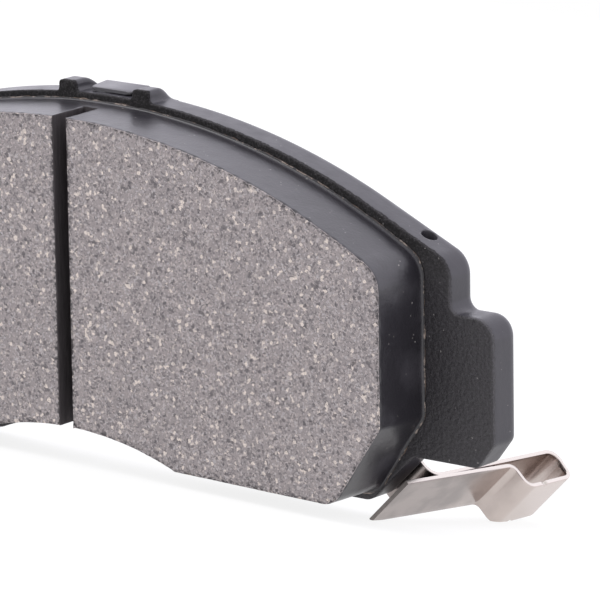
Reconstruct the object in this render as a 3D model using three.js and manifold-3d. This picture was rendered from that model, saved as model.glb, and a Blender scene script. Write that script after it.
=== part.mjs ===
// Disc brake pad for a sliding caliper: a stamped backing plate, a moulded lining cut by one slot,
// a bonded four-layer shim clipped over the plate, and a riveted spring-strip wear indicator.
//
// Frame: X runs along the pad, +Y points to the caliper piston, +Z points to the outside of the
// rotor. The origin is the centre of the face that the piston presses. Millimetres.

import * as THREE from "three";
import { mergeVertices } from "three/addons/utils/BufferGeometryUtils.js";
import Module from "manifold-3d";

const wasm = await Module();
wasm.setup();

// ---- driving dimensions -----------------------------------------------------------------------

const PISTON_HEIGHT = 20; // piston axis above the ears' lower edge, which is height 0 below

// thickness of each layer along Y
const PLATE_T = 6;
const BOND_T = 0.15;
const UNDERLAYER_T = 2.85;
const LINING_T = 7.4;
const SHIM_BOND_T = 0.1;
const SHIM_COAT_T = 0.1;
const SHIM_CORE_T = 0.5;

// backing plate outline, seen from the lining side
const PLATE_TOP = { radius: 120.2, height: 47.7 };
const PLATE_ARC_END = 50; // half width of the top arc, which runs on as its tangent
const SHOULDER_X = 64.6;
const SHOULDER_R = 4.2;
const EAR_X = 72.3;
const EAR_TOP = 22.5;
const EAR_R = 3.3;
const EAR_ROOT_R = 1.7;
const EAR_CHAMFER = { across: 2.9, up: 3.8, radius: 0.85 };
const CORNER_X = 57.7; // where the ear's lower edge meets the body's slanted corner
const PLATE_BOTTOM = -7.85;
const PLATE_CORNER_R = 2.6;
const PLATE_RELIEF = { radius: 60, height: -3.1, halfWidth: 22, leadIn: 3 };

// two locating lugs on the plate's top edge
const LUG_X = 7.15;
const LUG_TOP = 49.25;
const LUG_HALF_WIDTH = 1.55;
const LUG_TOP_R = 0.6;
const LUG_ROOT = { run: 1, radius: 0.7 };

// blind holes in the plate's top edge for the return spring's legs
const SPRING_HOLE = { x: 58.5, fromBack: 2.4, diameter: 2.5, depth: 9 };

// holes through the plate that the underlayer is moulded into
const KEY_HOLE_R = 4.5;
const KEY_HOLES = [
  { x: 17, height: 26 },
  { x: 41, height: 13 },
];

// lining outline
const LINING_TOP = { radius: 116.5, height: 46.3 };
const LINING_X = 59.7;
const LINING_SHOULDER = { x: 56, drop: 4.6, fullness: 0.8 };
const LINING_SIDE_FOOT = { height: 6.6, radius: 1.6 };
const LINING_CORNER = { x: 50.9, height: -6.35, radius: 4.2 };
const LINING_RELIEF = { radius: 58, height: -1.8, halfWidth: 21 };
const SLOT_WIDTH = 2.5;

// shim outline and its folded tabs
const SHIM_X = 50;
const SHIM_TOP_GAP = 3.2;
const SHIM_BOTTOM_GAP = 2.4;
const SHIM_SHOULDER_R = 1.6;
const SHIM_CORNER_R = 2.5;
const SHIM_CUT = 45; // x minus height along the slanted lower corners
const TOP_TAB = { halfWidth: 4.1, reach: 4.9, lift: 0.12, rise: 0.4 };
const BOTTOM_TAB = { x: 33, halfWidth: 4.5, reach: 4.2 };

// wear indicator: a strip whose width lies along the plate's 45 degree lower corner
const STRIP_T = 0.65;
const STRIP_W = 9.8;
const STRIP_EDGE = 37.9; // how far the strip's upper edge is from the frame's 45 degree line
const STRIP_TAPER = 0.04; // how fast the rear leg narrows towards its foot, per mm
const CROWN_GAP = 0.3;
const RIVET = { along: 36.4, shankR: 2, headR: 3.6, headT: 1.3, flareR: 3, flareT: 1.2 };
const RIVET_DOME = [[1, 0], [0.92, 0.55], [0.6, 0.92], [0, 1]]; // shares of the head's radius and height
const FIT_GAP = 0.3; // clearance round the rivet and the moulded keys
const PAST = 1; // how far a cut, or a tab before it is joined on, runs past a face

const ARC_STEPS = 12; // the large arcs take two segments a step
const BEND_STEPS = 3; // and so do the rounded corners
const ROUND_STEPS = 32; // sides of a turned piece or a round hole

// ---- derived places ---------------------------------------------------------------------------

const SHIM_T = SHIM_BOND_T + 2 * SHIM_COAT_T + SHIM_CORE_T;
const PLATE_BACK = -SHIM_T;
const PLATE_FRONT = PLATE_BACK - PLATE_T;
const UNDERLAYER_BACK = PLATE_FRONT - BOND_T;
const LINING_BACK = UNDERLAYER_BACK - UNDERLAYER_T;

// ---- shared geometry helpers ------------------------------------------------------------------

// height of a circular arc over the pad's centre line
function arcHeight(arc, x) {
  return arc.height - arc.radius + Math.sqrt(arc.radius ** 2 - x ** 2);
}

// adds an arc that is centred on the pad's centre line, from one x to another
function sweepArc(path, arc, fromX, toX) {
  const angle = (x) => Math.acos(x / arc.radius);
  const centre = arc.height - arc.radius;
  path.absarc(0, centre, arc.radius, angle(fromX), angle(toX), toX > fromX);
}

// goes straight on towards b and rounds the corner there, on the way from a to c
function roundCorner(path, a, b, c, radius) {
  const toA = new THREE.Vector2(a[0] - b[0], a[1] - b[1]).normalize();
  const toC = new THREE.Vector2(c[0] - b[0], c[1] - b[1]).normalize();
  const half = Math.acos(THREE.MathUtils.clamp(toA.dot(toC), -1, 1)) / 2;
  const cut = radius / Math.tan(half);
  const middle = toA.clone().add(toC).setLength(radius / Math.sin(half));
  const centre = new THREE.Vector2(b[0], b[1]).add(middle);
  const start = new THREE.Vector2(b[0], b[1]).addScaledVector(toA, cut).sub(centre);
  const end = new THREE.Vector2(b[0], b[1]).addScaledVector(toC, cut).sub(centre);
  const clockwise = toA.cross(toC) > 0;
  path.lineTo(centre.x + start.x, centre.y + start.y);
  path.absarc(centre.x, centre.y, radius, start.angle(), end.angle(), clockwise);
}

// a path through corners [x, height, radius], rounded wherever the radius isn't 0
function roundedPath(corners) {
  const path = new THREE.Path();
  path.moveTo(corners[0][0], corners[0][1]);
  for (let i = 1; i < corners.length - 1; i += 1) {
    const [x, height, radius] = corners[i];
    if (radius > 0) roundCorner(path, corners[i - 1], corners[i], corners[i + 1], radius);
    else path.lineTo(x, height);
  }
  const last = corners[corners.length - 1];
  path.lineTo(last[0], last[1]);
  return path;
}

// drops points that repeat the one before
function distinct(points) {
  return points.filter((p, i) => i === 0 || p.distanceTo(points[i - 1]) > 1e-4);
}

// a symmetric shape from its right half, listed from the top centre to the bottom centre
function mirroredShape(halfPoints) {
  const right = distinct(halfPoints);
  const inside = right.filter((p) => p.x > 1e-6);
  const left = inside.map((p) => new THREE.Vector2(-p.x, p.y)).reverse();
  return new THREE.Shape([...right, ...left]);
}

// a flat layer cut to a shape, from y = back - thickness to y = back
function layer(shape, thickness, back) {
  const options = { depth: thickness, bevelEnabled: false };
  const geometry = new THREE.ExtrudeGeometry(shape, options);
  geometry.rotateX(Math.PI / 2);
  geometry.translate(0, back, -PISTON_HEIGHT);
  return geometry;
}

function toSolid(geometry) {
  const bare = geometry.clone();
  bare.deleteAttribute("normal");
  bare.deleteAttribute("uv");
  const merged = mergeVertices(bare, 1e-4);
  return new wasm.Manifold(new wasm.Mesh({
    numProp: 3,
    vertProperties: new Float32Array(merged.attributes.position.array),
    triVerts: new Uint32Array(merged.index.array),
  }));
}

function toGeometry(solid) {
  const mesh = solid.getMesh();
  const geometry = new THREE.BufferGeometry();
  geometry.setAttribute("position", new THREE.BufferAttribute(mesh.vertProperties, 3));
  geometry.setIndex(new THREE.BufferAttribute(mesh.triVerts, 1));
  geometry.computeVertexNormals();
  return geometry;
}

// a round bar along Y, from y = front to y = back
function bar(radius, front, back, x, height) {
  const geometry = new THREE.CylinderGeometry(radius, radius, back - front, ROUND_STEPS);
  geometry.translate(x, (front + back) / 2, height - PISTON_HEIGHT);
  return geometry;
}

// each place and its mirror image
function bothSides(places) {
  return places.flatMap((place) => [place, { ...place, x: -place.x }]);
}

// ---- backing plate ----------------------------------------------------------------------------

function plateHalfOutline() {
  const tangent = -PLATE_ARC_END / Math.sqrt(PLATE_TOP.radius ** 2 - PLATE_ARC_END ** 2);
  const arcEnd = arcHeight(PLATE_TOP, PLATE_ARC_END);
  const shoulder = arcEnd + tangent * (SHOULDER_X - PLATE_ARC_END);
  const lugInner = LUG_X - LUG_HALF_WIDTH;
  const lugOuter = LUG_X + LUG_HALF_WIDTH;
  const bottomCorner = CORNER_X + PLATE_BOTTOM;

  const top = new THREE.Path();
  sweepArc(top, PLATE_TOP, 0, lugInner - LUG_ROOT.run);
  const lug = roundedPath([
    [lugInner - LUG_ROOT.run, arcHeight(PLATE_TOP, lugInner - LUG_ROOT.run)],
    [lugInner, arcHeight(PLATE_TOP, lugInner), LUG_ROOT.radius],
    [lugInner, LUG_TOP, LUG_TOP_R],
    [lugOuter, LUG_TOP, LUG_TOP_R],
    [lugOuter, arcHeight(PLATE_TOP, lugOuter), LUG_ROOT.radius],
    [lugOuter + LUG_ROOT.run, arcHeight(PLATE_TOP, lugOuter + LUG_ROOT.run)],
  ]);
  const crown = new THREE.Path();
  sweepArc(crown, PLATE_TOP, lugOuter + LUG_ROOT.run, PLATE_ARC_END);
  const side = roundedPath([
    [PLATE_ARC_END, arcEnd],
    [SHOULDER_X, shoulder, SHOULDER_R],
    [SHOULDER_X, EAR_TOP, EAR_ROOT_R],
    [EAR_X, EAR_TOP, EAR_R],
    [EAR_X, EAR_CHAMFER.up, EAR_ROOT_R],
    [EAR_X - EAR_CHAMFER.across, 0, EAR_CHAMFER.radius],
    [CORNER_X, 0, EAR_CHAMFER.radius],
    [bottomCorner, PLATE_BOTTOM, PLATE_CORNER_R],
    [PLATE_RELIEF.halfWidth + PLATE_RELIEF.leadIn, PLATE_BOTTOM],
  ]);
  const relief = new THREE.Path();
  sweepArc(relief, PLATE_RELIEF, PLATE_RELIEF.halfWidth, 0);
  const arcs = [top, crown, relief].map((path) => path.getPoints(ARC_STEPS));
  const bends = [lug, side].map((path) => path.getPoints(BEND_STEPS));
  return [arcs[0], bends[0], arcs[1], bends[1], arcs[2]].flat();
}

// the return spring's blind hole, square to the sloping top edge
function springHole({ x, fromBack, diameter, depth }, sign) {
  const slope = PLATE_ARC_END / Math.sqrt(PLATE_TOP.radius ** 2 - PLATE_ARC_END ** 2);
  const edge = arcHeight(PLATE_TOP, PLATE_ARC_END) - slope * (x - PLATE_ARC_END);
  const geometry = new THREE.CylinderGeometry(diameter / 2, diameter / 2, depth * 2, ROUND_STEPS);
  geometry.rotateX(Math.PI / 2);
  geometry.rotateY(sign * Math.atan(slope));
  geometry.translate(sign * x, PLATE_BACK - fromBack, edge - PISTON_HEIGHT);
  return geometry;
}

function backingPlate() {
  let solid = toSolid(layer(mirroredShape(plateHalfOutline()), PLATE_T, PLATE_BACK));
  const cutters = bothSides(KEY_HOLES).map(({ x, height }) =>
    bar(KEY_HOLE_R, PLATE_FRONT - PAST, PLATE_BACK + PAST, x, height));
  cutters.push(springHole(SPRING_HOLE, 1), springHole(SPRING_HOLE, -1));
  cutters.push(rivetBody(FIT_GAP));
  for (const cutter of cutters) solid = solid.subtract(toSolid(cutter));
  return toGeometry(solid);
}

// ---- lining -----------------------------------------------------------------------------------

function liningHalfPoints() {
  const top = new THREE.Path();
  sweepArc(top, LINING_TOP, 0, LINING_SHOULDER.x);
  const shoulder = arcHeight(LINING_TOP, LINING_SHOULDER.x);
  const slope = LINING_SHOULDER.x / Math.sqrt(LINING_TOP.radius ** 2 - LINING_SHOULDER.x ** 2);
  const corner = shoulder - slope * (LINING_X - LINING_SHOULDER.x) * LINING_SHOULDER.fullness;
  top.quadraticCurveTo(LINING_X, corner, LINING_X, shoulder - LINING_SHOULDER.drop);
  const side = roundedPath([
    [LINING_X, shoulder - LINING_SHOULDER.drop],
    [LINING_X, LINING_SIDE_FOOT.height, LINING_SIDE_FOOT.radius],
    [LINING_CORNER.x, LINING_CORNER.height, LINING_CORNER.radius],
    [LINING_RELIEF.halfWidth, arcHeight(LINING_RELIEF, LINING_RELIEF.halfWidth)],
  ]);
  const relief = new THREE.Path();
  sweepArc(relief, LINING_RELIEF, LINING_RELIEF.halfWidth, 0);
  return [
    ...top.getPoints(ARC_STEPS),
    ...side.getPoints(BEND_STEPS),
    ...relief.getPoints(ARC_STEPS),
  ];
}

// one friction block: the lining's outline on one side of the slot
function liningBlock(sign) {
  const half = SLOT_WIDTH / 2;
  const outside = distinct(liningHalfPoints()).filter((p) => p.x > half);
  const ends = [
    new THREE.Vector2(half, arcHeight(LINING_RELIEF, half)),
    new THREE.Vector2(half, arcHeight(LINING_TOP, half)),
  ];
  const outline = [...outside, ...ends].map((p) => new THREE.Vector2(sign * p.x, p.y));
  return layer(new THREE.Shape(outline), LINING_T, LINING_BACK);
}

function bondFilm() {
  let solid = toSolid(layer(mirroredShape(liningHalfPoints()), BOND_T, PLATE_FRONT));
  for (const { x, height } of bothSides(KEY_HOLES)) {
    const hole = bar(KEY_HOLE_R, UNDERLAYER_BACK - PAST, PLATE_FRONT + PAST, x, height);
    solid = solid.subtract(toSolid(hole));
  }
  return toGeometry(solid);
}

// the insulating underlayer and the keys that it fills the plate's holes with
function underlayer() {
  let solid = toSolid(layer(mirroredShape(liningHalfPoints()), UNDERLAYER_T, UNDERLAYER_BACK));
  for (const { x, height } of bothSides(KEY_HOLES)) {
    const key = bar(KEY_HOLE_R - FIT_GAP, UNDERLAYER_BACK - PAST, PLATE_BACK, x, height);
    solid = solid.add(toSolid(key));
  }
  return toGeometry(solid);
}

// ---- shim -------------------------------------------------------------------------------------

function shimOutline() {
  const top = { ...PLATE_TOP, height: PLATE_TOP.height - SHIM_TOP_GAP };
  const bottom = PLATE_BOTTOM + SHIM_BOTTOM_GAP;
  const relief = { ...PLATE_RELIEF, height: PLATE_RELIEF.height + SHIM_BOTTOM_GAP };
  const crown = new THREE.Path();
  sweepArc(crown, top, 0, SHIM_X - SHIM_CORNER_R);
  const side = roundedPath([
    [SHIM_X - SHIM_CORNER_R, arcHeight(top, SHIM_X - SHIM_CORNER_R)],
    [SHIM_X, arcHeight(top, SHIM_X), SHIM_SHOULDER_R],
    [SHIM_X, SHIM_X - SHIM_CUT, SHIM_CORNER_R],
    [SHIM_CUT + bottom, bottom, SHIM_CORNER_R],
    [PLATE_RELIEF.halfWidth + PLATE_RELIEF.leadIn, bottom],
  ]);
  const hollow = new THREE.Path();
  sweepArc(hollow, relief, PLATE_RELIEF.halfWidth, 0);
  return mirroredShape([
    ...crown.getPoints(ARC_STEPS),
    ...side.getPoints(BEND_STEPS),
    ...hollow.getPoints(ARC_STEPS),
  ]);
}

// a constant-thickness sheet bent in the Y-height plane, seen from the side
function foldedTab(sideOutline, halfWidth, x) {
  const options = { depth: halfWidth * 2, bevelEnabled: false };
  const geometry = new THREE.ExtrudeGeometry(new THREE.Shape(sideOutline), options);
  geometry.rotateX(Math.PI / 2);
  geometry.rotateZ(Math.PI / 2);
  geometry.translate(x - halfWidth, 0, -PISTON_HEIGHT);
  return geometry;
}

// the tab that hooks over the plate's top edge between the lugs
function topTab(back, front) {
  const rest = PLATE_TOP.height + TOP_TAB.lift;
  const end = back - TOP_TAB.reach;
  const outline = [
    [back, PLATE_TOP.height - SHIM_TOP_GAP - PAST],
    [back, rest + TOP_TAB.rise + SHIM_CORE_T],
    [end, rest + SHIM_CORE_T],
    [end, rest],
    [front, rest + TOP_TAB.rise],
    [front, PLATE_TOP.height - SHIM_TOP_GAP - PAST],
  ];
  return foldedTab(outline.map(([y, z]) => new THREE.Vector2(y, z)), TOP_TAB.halfWidth, 0);
}

// a tab that hooks under the plate's lower edge
function bottomTab(back, front, x) {
  const under = PLATE_BOTTOM - FIT_GAP;
  const end = back - BOTTOM_TAB.reach;
  const outline = [
    [back, PLATE_BOTTOM + SHIM_BOTTOM_GAP + PAST],
    [front, PLATE_BOTTOM + SHIM_BOTTOM_GAP + PAST],
    [front, under],
    [end, under],
    [end, under - SHIM_CORE_T],
    [back, under - SHIM_CORE_T],
  ];
  return foldedTab(outline.map(([y, z]) => new THREE.Vector2(y, z)), BOTTOM_TAB.halfWidth, x);
}

function shimCore() {
  const back = -SHIM_COAT_T;
  const front = back - SHIM_CORE_T;
  let solid = toSolid(layer(shimOutline(), SHIM_CORE_T, back));
  const tabs = [
    topTab(back, front),
    bottomTab(back, front, BOTTOM_TAB.x),
    bottomTab(back, front, -BOTTOM_TAB.x),
  ];
  for (const tab of tabs) solid = solid.add(toSolid(tab));
  return toGeometry(solid);
}

// ---- wear indicator ---------------------------------------------------------------------------

// The strip is drawn from the side: u is the distance behind the plate's front face and v runs
// outwards, square to the 45 degree corner. Its bends all run along the strip's width.

const FOOT_U = PLATE_T + STRIP_T / 2;
const CROWN = [32.95, 48.6];

// riveted foot, rear leg and the near half of the hairpin: [u, v, bend radius]
const BASE_ROUTE = [
  [FOOT_U, 32.6],
  [FOOT_U, 43.1, 2.4],
  [33.0, 46.25, 2.0],
  CROWN,
];

// far half of the hairpin, outer leg, step back and the arm that ends beside the lining
const ARM_ROUTE = [
  CROWN,
  [32.75, 51.1, 1.2],
  [22.7, 50.35, 1.6],
  [22.65, 46.25, 1.35],
  [-0.85, 43.1],
];

// a band of the strip's thickness along a route
function bandShape(route) {
  const points = distinct(roundedPath(route).getPoints(BEND_STEPS));
  const direction = (i, j) => points[j].clone().sub(points[i]).normalize();
  const sides = points.map((point, i) => {
    const before = direction(Math.max(i - 1, 0), Math.max(i, 1));
    const after = direction(Math.min(i, points.length - 2), Math.min(i + 1, points.length - 1));
    const along = before.add(after).normalize();
    return new THREE.Vector2(-along.y, along.x).multiplyScalar(STRIP_T / 2);
  });
  const left = points.map((point, i) => point.clone().add(sides[i]));
  const right = points.map((point, i) => point.clone().sub(sides[i])).reverse();
  return new THREE.Shape([...left, ...right]);
}

// pulls a route's first point along the strip, to leave the crown's gap
function shortened(route, amount) {
  const start = new THREE.Vector2(...route[0]);
  const next = new THREE.Vector2(route[1][0], route[1][1]);
  start.add(next.clone().sub(start).setLength(amount));
  return [[start.x, start.y], ...route.slice(1)];
}

// turns the side view onto the plate's lower right corner
function placeOnCorner(geometry) {
  const back = new THREE.Vector3(0, 1, 0);
  const outwards = new THREE.Vector3(1, 0, -1).normalize();
  const acrossStrip = new THREE.Vector3(-1, 0, -1).normalize();
  const turn = new THREE.Matrix4().makeBasis(back, outwards, acrossStrip);
  geometry.applyMatrix4(turn);
  const edge = acrossStrip.clone().multiplyScalar(-STRIP_EDGE);
  geometry.translate(edge.x, PLATE_FRONT, edge.z - PISTON_HEIGHT);
  return geometry;
}

function stripPiece(route) {
  const options = { depth: STRIP_W, bevelEnabled: false };
  return new THREE.ExtrudeGeometry(bandShape(route), options);
}

// the rivet's shank and its flared tail, along the strip's u direction
function rivetBody(grow) {
  const shank = RIVET.shankR + grow;
  const top = PLATE_T + STRIP_T;
  return placeRivet([
    [0, 0],
    [RIVET.flareR + grow, 0],
    [shank, RIVET.flareT + grow],
    [shank, top],
    [0, top],
  ]);
}

// a turned profile [radius, u] put on the rivet's axis
function placeRivet(profile) {
  const points = profile.map(([r, u]) => new THREE.Vector2(r, u));
  const geometry = new THREE.LatheGeometry(points, ROUND_STEPS);
  geometry.rotateZ(-Math.PI / 2);
  geometry.translate(0, RIVET.along, (STRIP_W + footInset()) / 2);
  return placeOnCorner(geometry);
}

// how much narrower the strip is at its foot than at its crown
function footInset() {
  return STRIP_TAPER * (CROWN[0] - FOOT_U);
}

// moves the strip's upper edge in, more and more towards the foot
function taper(geometry) {
  const position = geometry.attributes.position;
  for (let i = 0; i < position.count; i += 1) {
    const inset = STRIP_TAPER * Math.max(CROWN[0] - position.getX(i), 0);
    const across = position.getZ(i);
    position.setZ(i, across + inset * (1 - across / STRIP_W));
  }
  return geometry;
}

function wearIndicatorBase() {
  const fromCrown = shortened([...BASE_ROUTE].reverse(), CROWN_GAP / 2);
  const strip = taper(stripPiece(fromCrown.reverse()));
  const solid = toSolid(placeOnCorner(strip));
  return toGeometry(solid.subtract(toSolid(rivetBody(FIT_GAP))));
}

function wearIndicatorArm() {
  return placeOnCorner(stripPiece(shortened(ARM_ROUTE, CROWN_GAP / 2)));
}

function wearIndicatorRivet() {
  const top = PLATE_T + STRIP_T;
  const { shankR, headR, headT, flareR, flareT } = RIVET;
  return placeRivet([
    [0, 0],
    [flareR, 0],
    [shankR, flareT],
    [shankR, top],
    ...RIVET_DOME.map(([across, up]) => [headR * across, top + headT * up]),
  ]);
}

// ---- finishes and assembly --------------------------------------------------------------------

const FINISHES = {
  powderCoat: { color: 0x2b2b30, roughness: 0.75, metalness: 0 },
  lining: { color: 0x7b7373, roughness: 0.95, metalness: 0 },
  underlayer: { color: 0x4a4848, roughness: 0.9, metalness: 0 },
  bond: { color: 0x8a6a4c, roughness: 0.8, metalness: 0 },
  rubber: { color: 0x35363b, roughness: 0.7, metalness: 0 },
  shimSteel: { color: 0x8d9096, roughness: 0.4, metalness: 1 },
  springSteel: { color: 0xb9b2aa, roughness: 0.3, metalness: 1 },
};

function piece(name, geometry, finish) {
  const mesh = new THREE.Mesh(geometry, new THREE.MeshStandardMaterial(FINISHES[finish]));
  mesh.name = name;
  return mesh;
}

const group = new THREE.Group();
group.add(
  piece("backing_plate", backingPlate(), "powderCoat"),
  piece("bond_film", bondFilm(), "bond"),
  piece("underlayer", underlayer(), "underlayer"),
  piece("lining_right", liningBlock(1), "lining"),
  piece("lining_left", liningBlock(-1), "lining"),
  piece("shim_bond", layer(shimOutline(), SHIM_BOND_T, -SHIM_T + SHIM_BOND_T), "bond"),
  piece("shim_inner_coat", layer(shimOutline(), SHIM_COAT_T, -SHIM_COAT_T - SHIM_CORE_T), "rubber"),
  piece("shim_core", shimCore(), "shimSteel"),
  piece("shim_outer_coat", layer(shimOutline(), SHIM_COAT_T, 0), "rubber"),
  piece("wear_indicator_base", wearIndicatorBase(), "springSteel"),
  piece("wear_indicator_arm", wearIndicatorArm(), "springSteel"),
  piece("wear_indicator_rivet", wearIndicatorRivet(), "springSteel"),
);

export default group;
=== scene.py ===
"""The looks of a disc brake pad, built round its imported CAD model.

Every piece takes its outline from the CAD node that it stands for, and adds what the CAD leaves
out: rounded and die-rolled edges, the moulded cove and flash, the ground friction face, and the
cut edges of the indicator's strip. Lengths are millimetres until a mesh is made, and metres after.
"""

import math

import bpy
import numpy as np
from mathutils import Matrix, Vector, geometry, noise

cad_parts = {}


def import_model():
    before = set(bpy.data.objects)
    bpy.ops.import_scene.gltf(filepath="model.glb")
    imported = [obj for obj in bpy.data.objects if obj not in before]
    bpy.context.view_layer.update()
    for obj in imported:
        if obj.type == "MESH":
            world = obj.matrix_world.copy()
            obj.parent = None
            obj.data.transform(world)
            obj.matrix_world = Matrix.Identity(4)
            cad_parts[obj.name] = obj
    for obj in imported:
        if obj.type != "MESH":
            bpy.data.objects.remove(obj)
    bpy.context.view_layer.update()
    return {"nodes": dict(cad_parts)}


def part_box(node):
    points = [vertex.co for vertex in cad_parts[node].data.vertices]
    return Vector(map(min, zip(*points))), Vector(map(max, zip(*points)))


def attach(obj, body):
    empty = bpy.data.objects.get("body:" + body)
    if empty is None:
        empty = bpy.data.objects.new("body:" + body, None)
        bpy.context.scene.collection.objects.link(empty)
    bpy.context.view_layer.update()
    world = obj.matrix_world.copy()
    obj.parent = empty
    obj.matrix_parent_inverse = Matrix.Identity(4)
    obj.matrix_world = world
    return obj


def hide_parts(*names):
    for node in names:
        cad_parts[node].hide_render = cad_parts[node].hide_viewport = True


MM = 0.001

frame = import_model()

ALONG_Y = np.array([0.0, 1.0, 0.0])
ON_FACE = 0.02  # how far off a flat face's plane a point may be and still count as on it


# ---- reading the frame --------------------

def level(node, side):
    """Where a node's front (side 0) or back (side 1) lies along Y, in mm."""
    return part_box(node)[side].y / MM


PLATE_BACK = level("backing_plate", 1)
PLATE_FRONT = level("backing_plate", 0)
BOND_FRONT = level("bond_film", 0)
LINING_BACK = level("underlayer", 0)
LINING_FRONT = level("lining_right", 0)
SHIM_BOND_BACK = level("shim_bond", 1)
CORE_FRONT = level("shim_inner_coat", 1)
CORE_BACK = level("shim_outer_coat", 0)
SHIM_BACK = level("shim_outer_coat", 1)


def welded(node):
    """A CAD node's points, in mm, with shared corners joined, and its faces."""
    data = frame["nodes"][node].data
    points = np.array([v.co for v in data.vertices], float) / MM
    points, index = np.unique(np.round(points, 3), axis=0, return_inverse=True)
    index = index.ravel()
    faces = [[int(index[v]) for v in polygon.vertices] for polygon in data.polygons]
    return points, faces


def girth(loop):
    return np.linalg.norm(np.roll(loop, -1, axis=0) - loop, axis=1).sum()


def flat_loops(node, normal, height):
    """The closed edges of a node's flat face at a height along a direction, longest first."""
    points, faces = welded(node)
    on = np.abs(points @ normal - height) < ON_FACE
    edges = {
        (a, b)
        for face in faces if all(on[v] for v in face)
        for a, b in zip(face, face[1:] + face[:1])
    }
    border = {a: b for a, b in sorted(edges) if (b, a) not in edges}
    loops = []
    while border:
        start = min(border)
        loop, at = [start], border.pop(start)
        while at != start:
            loop.append(at)
            at = border.pop(at)
        loops.append(points[loop])
    return sorted(loops, key=girth, reverse=True)


# ---- outlines --------------------

SAME_POINT = 0.03  # points nearer than this to the one before are dropped
LONG_RUN = 2.2  # an edge this many times its neighbour's length is a straight that meets a curve
COARSE = 0.1  # spacing of an outline's points before they are evened out
INSET_STEP = 0.04  # the most that an outline is moved at once


def unit(vectors):
    return vectors / np.maximum(np.linalg.norm(vectors, axis=-1, keepdims=True), 1e-9)


def thinned(points, closed):
    """The points without those that repeat the one before."""
    before = np.roll(points, 1, axis=0)
    keep = np.linalg.norm(points - before, axis=1) > SAME_POINT
    if not closed:
        keep[0] = True
    return points[keep]


def tangents(points, closed, corner):
    """The directions in which a curve through the points reaches and leaves each of them."""
    ahead = np.roll(points, -1, axis=0) - points
    behind = points - np.roll(points, 1, axis=0)
    if not closed:
        ahead[-1], behind[0] = behind[-1], ahead[0]
    a = np.linalg.norm(behind, axis=1)[:, None]
    b = np.linalg.norm(ahead, axis=1)[:, None]
    into, out = unit(behind), unit(ahead)
    both = unit(into * b + out * a)
    both = np.where(a > LONG_RUN * b, into, both)
    both = np.where(b > LONG_RUN * a, out, both)
    sharp = (into * out).sum(axis=1)[:, None] < math.cos(math.radians(corner))
    return np.where(sharp, into, both), np.where(sharp, out, both)


def curved(points, spacing, closed=True, corner=32):
    """A fine smooth line through coarse points, with the sharp corners kept."""
    points = thinned(points, closed)
    into, out = tangents(points, closed, corner)
    count = len(points) if closed else len(points) - 1
    fine = []
    for i in range(count):
        j = (i + 1) % len(points)
        chord = np.linalg.norm(points[j] - points[i])
        steps = max(1, round(chord / spacing))
        t = (np.arange(steps) / steps)[:, None]
        fine.append(
            points[i] * (1 + 2 * t) * (1 - t) ** 2
            + out[i] * chord * t * (1 - t) ** 2
            + points[j] * t * t * (3 - 2 * t)
            + into[j] * chord * t * t * (t - 1)
        )
    if not closed:
        fine.append(points[-1:])
    return np.concatenate(fine)


def anticlockwise(loop):
    x, z = loop[:, 0], loop[:, 1]
    area = (x * np.roll(z, -1) - np.roll(x, -1) * z).sum()
    return loop if area > 0 else loop[::-1]


def outlines(node, y, spacing):
    """The node's outline and the outlines of its holes at a Y level, as fine loops [x, z]."""
    loops = [curved(loop[:, [0, 2]], COARSE) for loop in flat_loops(node, ALONG_Y, y)]
    return [evened(anticlockwise(loop), round(girth(loop) / spacing)) for loop in loops]


def headings(loop):
    """The unit tangent at each point of a closed loop."""
    return unit(np.roll(loop, -1, axis=0) - np.roll(loop, 1, axis=0))


def left_of(vectors):
    """The vectors turned a quarter turn to the left."""
    return np.stack([-vectors[:, 1], vectors[:, 0]], axis=1)


def inward(loop):
    """The unit normals into an anticlockwise loop."""
    return left_of(headings(loop))


def distances(points):
    """How far along a line each of its points is."""
    return np.concatenate([[0], np.cumsum(np.linalg.norm(np.diff(points, axis=0), axis=1))])


def evened(loop, count):
    """The loop with its points the same distance apart."""
    closed = np.concatenate([loop, loop[:1]])
    at = distances(closed)
    places = np.linspace(0, at[-1], count, endpoint=False)
    return np.stack([np.interp(places, at, closed[:, k]) for k in range(2)], axis=1)


def inset(loop, distance):
    """The loop moved inwards, or outwards if distance is below 0, its points kept in order.

    The distance is one number or one for each point.
    """
    moved = loop.copy()
    distance = np.broadcast_to(distance, len(loop))[:, None]
    count = math.ceil(np.abs(distance).max() / INSET_STEP)
    for _ in range(count):
        moved = moved + inward(moved) * (distance / count)
        middle = (np.roll(moved, -1, axis=0) + np.roll(moved, 1, axis=0)) / 2 - moved
        along = headings(moved)
        moved = moved + along * (middle * along).sum(axis=1)[:, None] * 0.5
    return moved


def wave(points, scale, seed, octaves=2):
    """Smooth random values from about -1 to 1 at points [x, z] or [x, y, z]."""
    values = []
    for p in points:
        x, y, z = (p[0], seed * 7.3, p[1]) if len(p) == 2 else p
        values.append(noise.fractal(Vector((x, y + seed * 3.1, z)) / scale, 0.6, 2.0, octaves))
    return np.array(values)


# ---- building meshes --------------------

def placed(name, data):
    """A new object in the scene."""
    made = bpy.data.objects.new(name, data)
    bpy.context.scene.collection.objects.link(made)
    return made


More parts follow.
